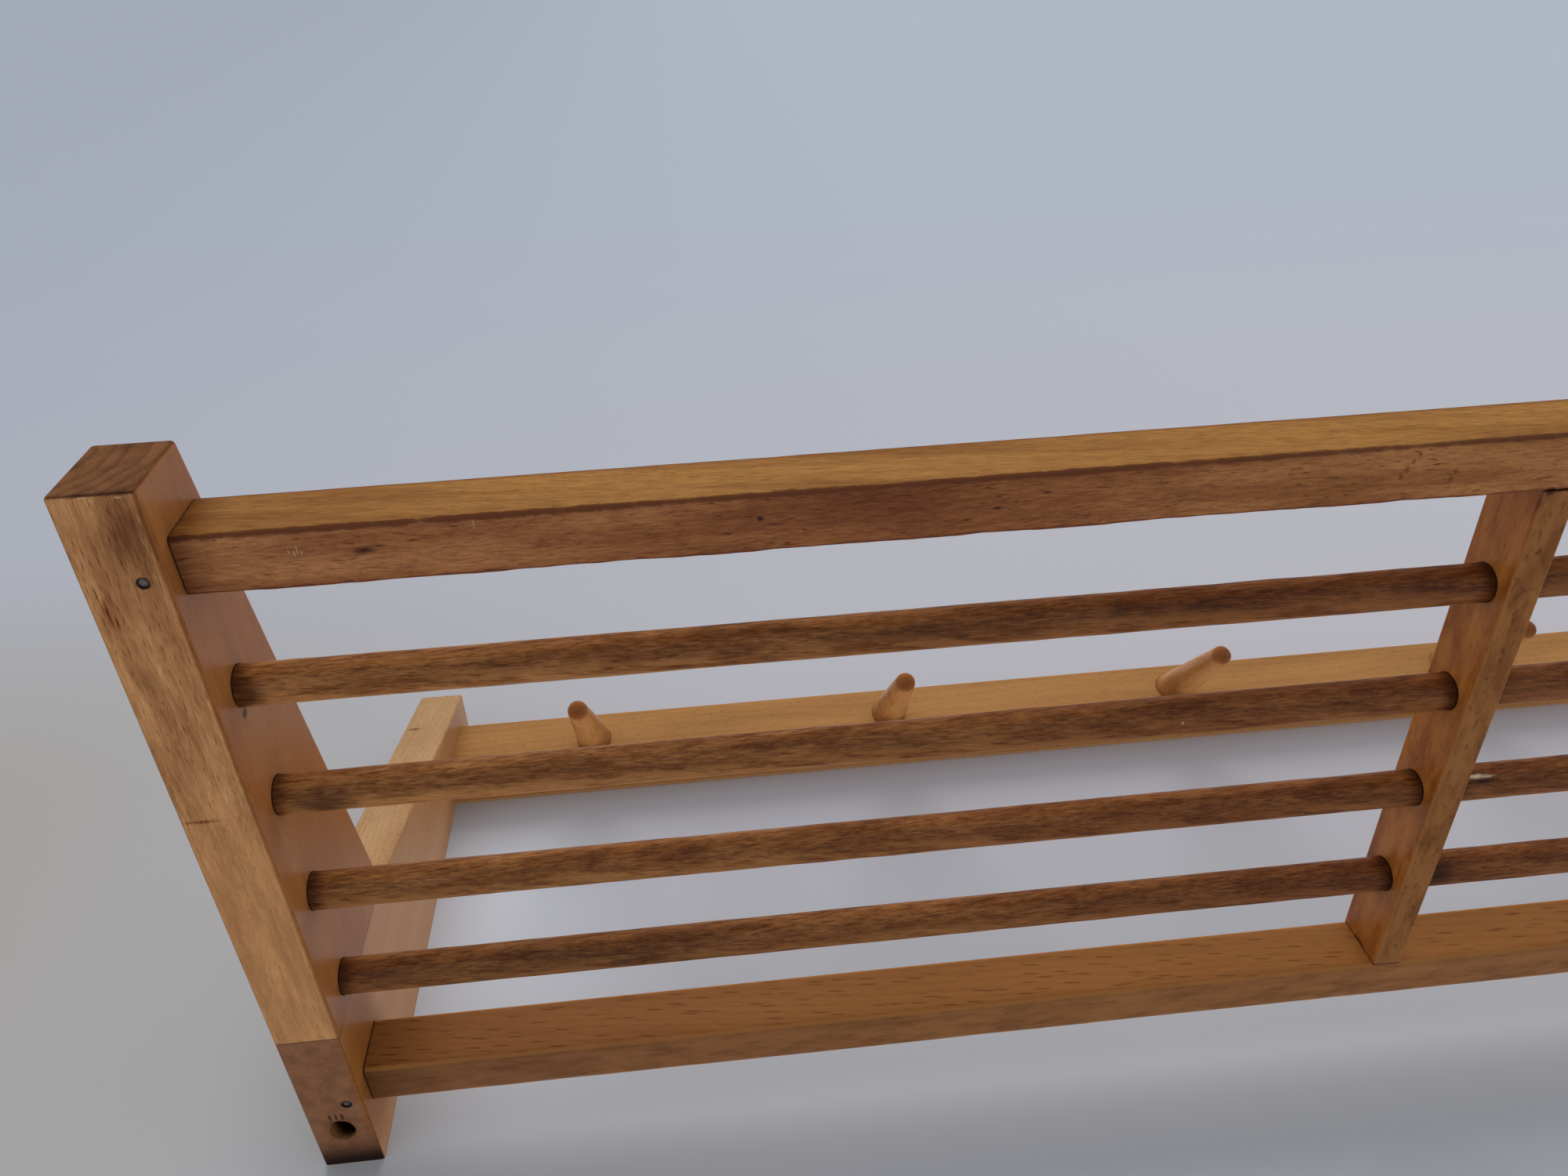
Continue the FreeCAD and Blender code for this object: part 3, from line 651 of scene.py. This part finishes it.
# Crossbar: a thin beech bar at mid-length, tenoned into both rails, with the shelf dowels threaded through
# it. Its upper edge is scuffed and specked, and it is darker round the dowels and in the corners at the
# rails.
CROSSBAR_HALF = node_box("crossbar")[1][0]
crossbar = WoodFinish(
    "crossbar_beech", "Y", pale=tint(180, 115, 54), deep=tint(144, 85, 37), fleck=tint(112, 66, 30),
    Pith=(0, -60, 190), Ring_Width=3.6, Fleck_Cell=(3.2, 1.0, 1.0), Fleck_Amount=0.1, Streak=0.25, Seed=7.0)
crossbar_top = crossbar.facing(UP)
crossbar.stain(crossbar_top, tint(134, 92, 48), 0.7)
crossbar.soak(crossbar.patch(26, 8, cover=0.45, softness=0.14, seed=5.0), tint(196, 170, 150), 0.8)
specks = crossbar.patch(5, 2.6, cover=0.22, softness=0.12, seed=3.0)
crossbar.soak(crossbar.both(crossbar_top, specks), tint(172, 124, 88), 0.9)
end_scuff = crossbar.spot((CROSSBAR_HALF, -277, RAIL_HIGH_Z), (1.5, 6, 2.6), ragged=1.2, core=0.1)
crossbar.soak(end_scuff, tint(150, 104, 68))
# Darker in the corner where the crossbar meets the front rail.
dark_rail_corner = crossbar.spot((4.5, -280.8, RAIL_HIGH_Z), (2.4, 1.4, 2), ragged=1.2, core=0.1)
crossbar.soak(dark_rail_corner, tint(146, 100, 66))
crossbar_box = ((-CROSSBAR_HALF, -400, RAIL_LOW_Z), (CROSSBAR_HALF, 100, RAIL_HIGH_Z))
crossbar.stain(crossbar.arris(*crossbar_box, width=1.0, ragged=0.8), tint(160, 108, 58), 0.5)
seat_ring = use(crossbar.tree, dark_seat_ring, Vector=crossbar.place, Width=SEAT_RING_WIDTH, **dowel_seats)["Mask"]
crossbar.stain(seat_ring, tint(48, 26, 14), 0.6)
# Darker bands at both ends, where the crossbar meets the rails.
for joint_y, spread in ((REAR_RAIL_Y[0], -1.2), (FRONT_RAIL_Y[1], 0.8)):
    crossbar.soak(crossbar.along(TO_WALL, joint_y + spread, joint_y), tint(124, 96, 76))
dress("crossbar", crossbar.finish(gloss=0.36, dull=0.5, dull_mask=crossbar_top))


# Shelf dowels: four long turned beech rods through the crossbar, seated in blind holes of the arms.
# Years of hats and bags have taken the lacquer off in patches, and the bare wood has gone dark and streaky.
def stand_in_row(tree, inlet, piece, **more):
    row = {"Count": inlet["Count"], "Start Location": inlet["First"], "Offset": inlet["Pitch"]}
    points = node_out(tree, "GeometryNodeMeshLine", row)
    pieces = node_out(tree, "GeometryNodeInstanceOnPoints", {"Points": points, "Instance": piece, **more})
    return node_out(tree, "GeometryNodeRealizeInstances", {"Geometry": pieces})


def make_uneven(tree, geometry, waves, amount):
    here = tree.nodes.new("GeometryNodeInputPosition").outputs[0]
    swell = calc(tree, "SUBTRACT", drawn_noise(tree, here, waves), 0.5)
    outward = tree.nodes.new("GeometryNodeInputNormal").outputs[0]
    return push_out(tree, geometry, outward, calc(tree, "MULTIPLY", swell, amount))


ROUND_SIDES = 32


def build_worn_rods():
    # Points along a rod, and waves of its unevenness per metre.
    steps_along = 280
    swell_waves = (40.0, 110.0, 110.0)
    inputs = {"Length": "Float", "Radius": "Float", "Count": "Int", "First": "Vector", "Pitch": "Vector",
              "Unevenness": "Float", "Material": "Material"}
    tree, inlet = start_shape("worn_rods", inputs)
    line = centre_line(tree, calc(tree, "MULTIPLY", inlet["Length"], 0.5), steps_along)
    ring = {"Resolution": ROUND_SIDES, "Radius": inlet["Radius"]}
    rod = sweep_along(tree, line, node_out(tree, "GeometryNodeCurvePrimitiveCircle", ring))
    rods = make_uneven(tree, stand_in_row(tree, inlet, rod), swell_waves, inlet["Unevenness"])
    return end_shape(tree, rods, inlet["Material"])


DOWEL_GRAIN_TURN = (0, 0.05, 0.06)
DOWEL_UNEVENNESS = 0.6
SHELF_MID_Y = sum(DOWEL_YS) / len(DOWEL_YS)
rods = WoodFinish(
    "shelf_dowel_beech", DOWEL_GRAIN_TURN, pale=tint(182, 127, 73), deep=tint(126, 82, 45),
    fleck=tint(78, 47, 24), stretch=1.9, Pith=(0, -160, 215), Ring_Width=5.0, Fleck_Cell=(3.6, 0.8, 0.8),
    Fleck_Amount=0.4, Streak=0.55, Seed=4.0)
bare = rods.patch(46, 6, cover=0.5, softness=0.1, seed=2.0)
rods.soak(bare, tint(208, 192, 180), 0.8)
rods.soak(rods.patch(28, 8, cover=0.3, softness=0.16, seed=3.0), tint(190, 166, 150), 0.7)
rods.soak(rods.patch(7, 1.1, cover=0.42, softness=0.12, seed=9.0), tint(186, 164, 150), 0.7)
pale_scrapes = rods.patch(26, 4.2, cover=0.5, softness=0.07, seed=5.0)
rods.stain(rods.both(pale_scrapes, rods.facing((0, 0.7, 0.7), 0.2, 0.7)), tint(168, 118, 70), 0.55)
for seat_x in (INNER_X, CROSSBAR_HALF, -CROSSBAR_HALF, -INNER_X):
    seat = (seat_x, SHELF_MID_Y, DOWEL_Z)
    rods.soak(rods.spot(seat, (8, FAR, FAR), ragged=1.0, core=0.0), tint(160, 138, 122))
    rods.stain(rods.spot(seat, (0.6, FAR, FAR), ragged=0.4, core=0.3), tint(28, 16, 10), 0.85)
rods.soak(rods.along(TO_RIGHT, 420, 30), tint(206, 188, 176))
rear_pair = rods.both(rods.along(TO_WALL, -170, -95), rods.along(TO_RIGHT, 220, 330))
rods.soak(rear_pair, tint(216, 211, 208))
front_rod_grime = rods.spot((185, DOWEL_YS[3], DOWEL_Z), (110, 12, 12), ragged=0.6, core=0.0)
rods.soak(front_rod_grime, tint(232, 226, 222))
dark_ends = (((419, -190, 228), (17, 8, 9)), ((431, -238.5, 229), (7, 8, 8)), ((-14, -95, 228), (12, 8, 9)))
for centre, radii in dark_ends:
    rods.soak(rods.spot(centre, radii, ragged=0.9, core=0.1), tint(150, 136, 130))
chip_rim = rods.spot((-18, -146.4, 227.5), (11, 1.6, 2.4), ragged=1.8, core=0.1)
rods.soak(chip_rim, tint(130, 108, 96))
chip = rods.spot((-17, -147.6, 226), (8, 1.0, 1.8), ragged=2.4, core=0.2)
rods.stain(chip, tint(226, 208, 180), 0.85)
small_chip = rods.spot((111, -191.6, 229.3), (0.7, 0.9, 1.5), ragged=1.2, core=0.2)
rods.stain(small_chip, tint(200, 176, 146), 0.7)
rod_material = rods.finish(gloss=0.42, dull=0.6, dull_mask=bare)
sizes = {"Length": 2 * DOWEL_END_X / MM, "Radius": DOWEL_RADIUS / MM, "Count": len(DOWEL_YS),
         "First": (0.0, DOWEL_YS[0] / MM, DOWEL_Z / MM), "Pitch": (0.0, -DOWEL_PITCH / MM, 0.0),
         "Unevenness": DOWEL_UNEVENNESS / MM, "Material": rod_material}
shelf_dowels = shape_piece("shelf_dowel_rods", build_worn_rods(), sizes)
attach(shelf_dowels, "root")
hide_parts("shelf_dowel_1", "shelf_dowel_2", "shelf_dowel_3", "shelf_dowel_4")


# Nails: thin wire nails, one at each end of each rail, driven down through the brackets and punched just
# under the face. Their flat heads are dull grey steel, browned by the damp in the wood.
def build_turned(name, profile, packing):
    # Points along the piece, packed towards its tip, and waves of its unevenness per metre.
    steps_along = 96
    swell_waves = (90.0, 90.0, 90.0)
    inputs = {"Length": "Float", "Seat": "Float", "Radius": "Float", "Count": "Int", "First": "Vector",
              "Pitch": "Vector", "Lean": "Rotation", "Unevenness": "Float", "Material": "Material"}
    tree, inlet = start_shape(name, inputs)
    line = node_out(tree, "GeometryNodeCurvePrimitiveLine", {"Start": (0, 0, 0), "End": (0, 0, 1)})
    line = node_out(tree, "GeometryNodeResampleCurve", {"Curve": line, "Count": steps_along})
    factor = tree.nodes.new("GeometryNodeSplineParameter").outputs["Factor"]
    left = calc(tree, "POWER", calc(tree, "SUBTRACT", 1.0, factor), packing)
    share = calc(tree, "SUBTRACT", 1.0, left)
    height = calc(tree, "SUBTRACT", calc(tree, "MULTIPLY", share, inlet["Length"]), inlet["Seat"])
    store = {"Geometry": line, "Name": "share", "Value": share}
    line = node_out(tree, "GeometryNodeStoreNamedAttribute", store, data_type="FLOAT", domain="POINT")
    raised = {"Geometry": line, "Position": combine(tree, 0.0, 0.0, height)}
    line = node_out(tree, "GeometryNodeSetPosition", raised)
    named = node_out(tree, "GeometryNodeInputNamedAttribute", {"Name": "share"}, data_type="FLOAT")
    girth = add_node(tree, "ShaderNodeFloatCurve", {"Value": named})
    curve = girth.mapping.curves[0]
    curve.points[0].location = profile[0]
    curve.points[1].location = profile[-1]
    for point in profile[1:-1]:
        curve.points.new(*point)
    for point in curve.points:
        point.handle_type = "VECTOR"
    girth.mapping.update()
    ring = {"Resolution": ROUND_SIDES, "Radius": inlet["Radius"]}
    circle = node_out(tree, "GeometryNodeCurvePrimitiveCircle", ring)
    turned = sweep_along(tree, line, circle, Scale=girth.outputs[0])
    pieces = stand_in_row(tree, inlet, turned, Rotation=inlet["Lean"])
    pieces = make_uneven(tree, pieces, swell_waves, inlet["Unevenness"])
    return end_shape(tree, pieces, inlet["Material"])


def new_steel():
    steel = bpy.data.materials.new("nail_steel_worn")
    steel.use_nodes = True
    tree = steel.node_tree
    shader = tree.nodes["Principled BSDF"]
    here = tree.nodes.new("ShaderNodeTexCoord").outputs["Object"]
    specks = noise(tree, here, 3.0, 0.6, 1800.0)
    colour = lay(tree, ease_step(tree, specks, 0.35, 0.7), tint(128, 126, 124), tint(72, 60, 52))
    tree.links.new(colour, shader.inputs["Base Color"])
    tree.links.new(ease_step(tree, specks, -0.3, 1.2), shader.inputs["Roughness"])
    shader.inputs["Metallic"].default_value = 0.6
    return steel


NAIL_X = 443.0
NAIL_LENGTH = 25.0
NAIL_SINK = 0.25
NAIL_HEAD_RADIUS = 1.7
# Shares of the length from the point up, each with its share of the head's radius.
NAIL_PROFILE = ((0.0, 0.05), (0.04, 0.53), (0.955, 0.53), (0.965, 1.0), (0.988, 1.0), (0.996, 0.82),
                (1.0, 0.5))
turned_nail = build_turned("turned_nail", NAIL_PROFILE, packing=1.0)
nail_material = new_steel()
for nail_name, ys in (("front_rail_nails", FRONT_RAIL_Y), ("rear_rail_nails", REAR_RAIL_Y)):
    sizes = {"Length": NAIL_LENGTH / MM, "Seat": NAIL_LENGTH / MM, "Radius": NAIL_HEAD_RADIUS / MM,
             "Count": 2, "First": (-NAIL_X / MM, sum(ys) / 2 / MM, (TOP_Z - NAIL_SINK) / MM),
             "Pitch": (2 * NAIL_X / MM, 0.0, 0.0), "Lean": (0.0, 0.0, 0.0), "Unevenness": 0.0,
             "Material": nail_material}
    nails = shape_piece(nail_name + "_wire", turned_nail, sizes)
    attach(nails, "root")
    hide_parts(nail_name)


# Peg rail: a flat beech board between the feet of the legs, against the wall, with a stub tenon at each end.
# It is the cleanest piece: honey lacquer with fine flecks, and a thin dark line round each peg.
PEG_PITCH = 177.0
PEG_LEAN = math.radians(39)
PEG_ROOT_RADIUS = 9.5
(_, PEG_RAIL_FRONT_Y, PEG_RAIL_LOW_Z), (_, _, PEG_RAIL_HIGH_Z) = node_box("peg_rail")
peg_rail = WoodFinish(
    "peg_rail_beech", "X", pale=tint(181, 133, 80), deep=tint(147, 101, 55), fleck=tint(112, 71, 35),
    Pith=(0, -180, 90), Ring_Width=3.6, Fleck_Cell=(3.4, 2.0, 1.0), Fleck_Amount=0.35, Streak=0.18, Seed=6.0)
peg_rail_box = ((-PAST_END, PEG_RAIL_FRONT_Y, PEG_RAIL_LOW_Z), (PAST_END, WALL_Y, PEG_RAIL_HIGH_Z))
peg_rail.soak(peg_rail.arris(*peg_rail_box, width=1.1, ragged=1.0), tint(176, 156, 138), 0.7)
peg_seats = {"Seat": (0, PEG_RAIL_FRONT_Y, 0), "Pitch": (PEG_PITCH, FAR, FAR),
             "Radii": (PEG_ROOT_RADIUS, FAR, PEG_ROOT_RADIUS / math.cos(PEG_LEAN))}
seat_ring = use(peg_rail.tree, dark_seat_ring, Vector=peg_rail.place, Width=0.1, **peg_seats)["Mask"]
peg_rail.stain(peg_rail.both(seat_ring, peg_rail.facing(TO_ROOM)), tint(80, 46, 24), 0.35)
dress("peg_rail", peg_rail.finish(gloss=0.36, dull=0.5, dull_mask=peg_rail.facing(UP)))


# Coat pegs: five turned beech pegs with a long taper and a rounded tip, leaning up and glued into slanted
# holes of the peg rail. Their tips are browned by hands and coat loops.
PEG_COUNT = 5
PEG_REACH = 81.0
PEG_SEAT = 13.54
PEG_UNEVENNESS = 0.4
# Shares of the length from the seated end up, each with its share of the root's radius.
PEG_PROFILE = ((0.0, 1.0), (0.2246, 1.0), (0.962, 0.558), (0.9715, 0.511), (0.981, 0.438), (0.9905, 0.323),
               (0.9968, 0.19), (1.0, 0.03))
peg_axis = (0, -math.cos(PEG_LEAN), math.sin(PEG_LEAN))
pegs = WoodFinish(
    "coat_peg_beech", (PEG_LEAN, 0, -math.pi / 2), pale=tint(186, 130, 75), deep=tint(156, 102, 57),
    fleck=tint(116, 70, 36), Pith=(0, -180, 15), Ring_Width=2.6, Fleck_Cell=(3.2, 1.0, 1.0),
    Fleck_Amount=0.35, Streak=0.25, Seed=8.0)
pegs.soak(pegs.along(peg_axis, 88, 98), tint(208, 180, 158))
# Painted shade: each peg is darker at its root, where it meets the rail.
pegs.soak(pegs.along(peg_axis, 22, 14), tint(170, 148, 130), 0.4)
peg_grime = pegs.patch(20, 5, cover=0.4, softness=0.1, seed=1.0)
pegs.soak(peg_grime, tint(206, 192, 180), 0.35)
peg_material = pegs.finish(gloss=0.34, dull=0.5, dull_mask=peg_grime)
first_peg_x = -(PEG_COUNT - 1) / 2 * PEG_PITCH
sizes = {"Length": (PEG_REACH + PEG_SEAT) / MM, "Seat": PEG_SEAT / MM, "Radius": PEG_ROOT_RADIUS / MM,
         "Count": PEG_COUNT, "First": (first_peg_x / MM, PEG_RAIL_FRONT_Y / MM, 0.0),
         "Pitch": (PEG_PITCH / MM, 0.0, 0.0), "Lean": (math.pi / 2 - PEG_LEAN, 0.0, 0.0),
         "Unevenness": PEG_UNEVENNESS / MM, "Material": peg_material}
coat_pegs = shape_piece("coat_peg_turnings", build_turned("turned_peg", PEG_PROFILE, packing=1.7), sizes)
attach(coat_pegs, "root")
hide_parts("coat_peg_1", "coat_peg_2", "coat_peg_3", "coat_peg_4", "coat_peg_5")


# Backdrop: one broad matt pale sheet behind the rack, which lies flat against it as on a wall.
# Its tint drifts between blue and grey and darkens towards +x, with painted shade where the shelf stands out
# over it and a painted pool of light that makes it palest beside the right leg. It is seen only from the
# room side and casts no shadow, so the back of the rack can be looked at as well.
def new_backdrop_finish():
    sheet = bpy.data.materials.new("pale_backdrop")
    sheet.use_nodes = True
    tree = sheet.node_tree
    tree.nodes.clear()
    here = tree.nodes.new("ShaderNodeTexCoord").outputs["Object"]
    across, _, upward = add_node(tree, "ShaderNodeSeparateXYZ", {0: here}).outputs
    colour = lay(tree, ease_step(tree, upward, -1.4, 0.1), tint(178, 188, 203), tint(187, 188, 198))
    # Painted shade: darker and bluer up towards the shelf, which stands out over the sheet.
    colour = lay(tree, ease_step(tree, upward, 0.05, 0.25), colour, tint(179, 186, 196))
    colour = lay(tree, ease_step(tree, across, -0.4, 1.6), colour, tint(164, 172, 187), 0.8)
    beside = calc(tree, "MULTIPLY", ease_step(tree, across, 0.2, 0.8), ease_step(tree, upward, -0.35, 0.0))
    colour = lay(tree, beside, colour, tint(166, 165, 164))
    # A painted pool of light low beside the right leg, lifting the shadow there.
    painted_light_by_leg = calc(tree, "MULTIPLY", ease_step(tree, across, 0.27, 0.43), ease_step(tree, across, 0.47, 0.44))
    low_down = calc(tree, "MULTIPLY", ease_step(tree, upward, 0.0, 0.1), ease_step(tree, upward, 0.26, 0.16))
    colour = lay(tree, calc(tree, "MULTIPLY", painted_light_by_leg, low_down), colour, tint(222, 233, 250), 0.65)
    matt = node_out(tree, "ShaderNodeBsdfDiffuse", {"Color": colour})
    clear = tree.nodes.new("ShaderNodeBsdfTransparent").outputs[0]
    behind = tree.nodes.new("ShaderNodeNewGeometry").outputs["Backfacing"]
    shadow = tree.nodes.new("ShaderNodeLightPath").outputs["Is Shadow Ray"]
    open_side = calc(tree, "MAXIMUM", behind, shadow)
    mixed = node_out(tree, "ShaderNodeMixShader", {0: open_side, 1: matt, 2: clear})
    add_node(tree, "ShaderNodeOutputMaterial", {"Surface": mixed})
    return sheet


SHEET_Y = 0.0006
SHEET_HALF = 30.0
corners = [(SHEET_HALF, SHEET_Y, -SHEET_HALF), (SHEET_HALF, SHEET_Y, SHEET_HALF),
           (-SHEET_HALF, SHEET_Y, SHEET_HALF), (-SHEET_HALF, SHEET_Y, -SHEET_HALF)]
sheet_mesh = bpy.data.meshes.new("backdrop")
sheet_mesh.from_pydata(corners, [], [(0, 1, 2, 3)])
sheet_mesh.materials.append(new_backdrop_finish())
backdrop = bpy.data.objects.new("backdrop", sheet_mesh)
bpy.context.scene.collection.objects.link(backdrop)


# Light: a soft broad light from the room, another from behind the sheet for the side against the wall,
# and a pale surround that is brighter on the room side.
def add_sun(name, toward, strength, spread, colour):
    lamp = bpy.data.lights.new(name, "SUN")
    lamp.energy = strength
    lamp.angle = math.radians(spread)
    lamp.color = colour
    sun = bpy.data.objects.new(name, lamp)
    sun.rotation_euler = Vector(toward).to_track_quat("-Z", "Y").to_euler()
    sun.visible_glossy = False
    bpy.context.scene.collection.objects.link(sun)


ROOM_FILL = 0.65
SEEN_SURROUND = 0.52
add_sun("room_light", (0.0, 0.43, 0.87), strength=2.25, spread=45, colour=(1.0, 0.97, 0.92))
add_sun("wall_side_light", (0.1, -1.0, -0.12), strength=2.4, spread=60, colour=(1.0, 1.0, 1.0))
surround = bpy.data.worlds.new("pale_surround")
surround.use_nodes = True
tree = surround.node_tree
tree.nodes.clear()
ray = tree.nodes.new("ShaderNodeLightPath").outputs
around = tree.nodes.new("ShaderNodeTexCoord").outputs["Generated"]
direction = add_node(tree, "ShaderNodeSeparateXYZ", {0: around}).outputs
room_side = ease_step(tree, direction[1], 0.15, -0.1)
fill = calc(tree, "MULTIPLY", room_side, ROOM_FILL)
mirrored = calc(tree, "MAXIMUM", ray["Is Glossy Ray"], ray["Is Transmission Ray"])
far_side = calc(tree, "MULTIPLY_ADD", ease_step(tree, direction[2], -0.7, 0.1), 0.4, 0.12)
strength = node_out(tree, "ShaderNodeMix", {0: mirrored, 2: fill, 3: far_side})
strength = node_out(tree, "ShaderNodeMix", {0: ray["Is Camera Ray"], 2: strength, 3: SEEN_SURROUND})
pale = node_out(tree, "ShaderNodeBackground", {"Color": (1.0, 0.99, 0.98, 1.0), "Strength": strength})
add_node(tree, "ShaderNodeOutputWorld", {"Surface": pale})
bpy.context.scene.world = surround


# Camera: held above the shelf's end and looking down along the rack, as in the photograph.
# Its place and its three axes were fitted to the straight edges seen there.
CAMERA_PLACE = (0.2795, -0.4681, 0.54605)
lens = bpy.data.cameras.new("camera")
lens.sensor_fit = "HORIZONTAL"
lens.sensor_width = 36.0
lens.lens = 26.77
lens.clip_start = 0.01
camera = bpy.data.objects.new("camera", lens)
right = Vector((-0.9947, 0.0320, 0.0973))
up = Vector((-0.07942, -0.84068, -0.53568))
back = Vector((0.06465, -0.54059, 0.83880))
turn = Matrix((right, up, back)).transposed()
camera.matrix_world = Matrix.Translation(CAMERA_PLACE) @ turn.to_4x4()
bpy.context.scene.collection.objects.link(camera)
bpy.context.scene.camera = camera
bpy.context.scene.view_settings.view_transform = "Standard"
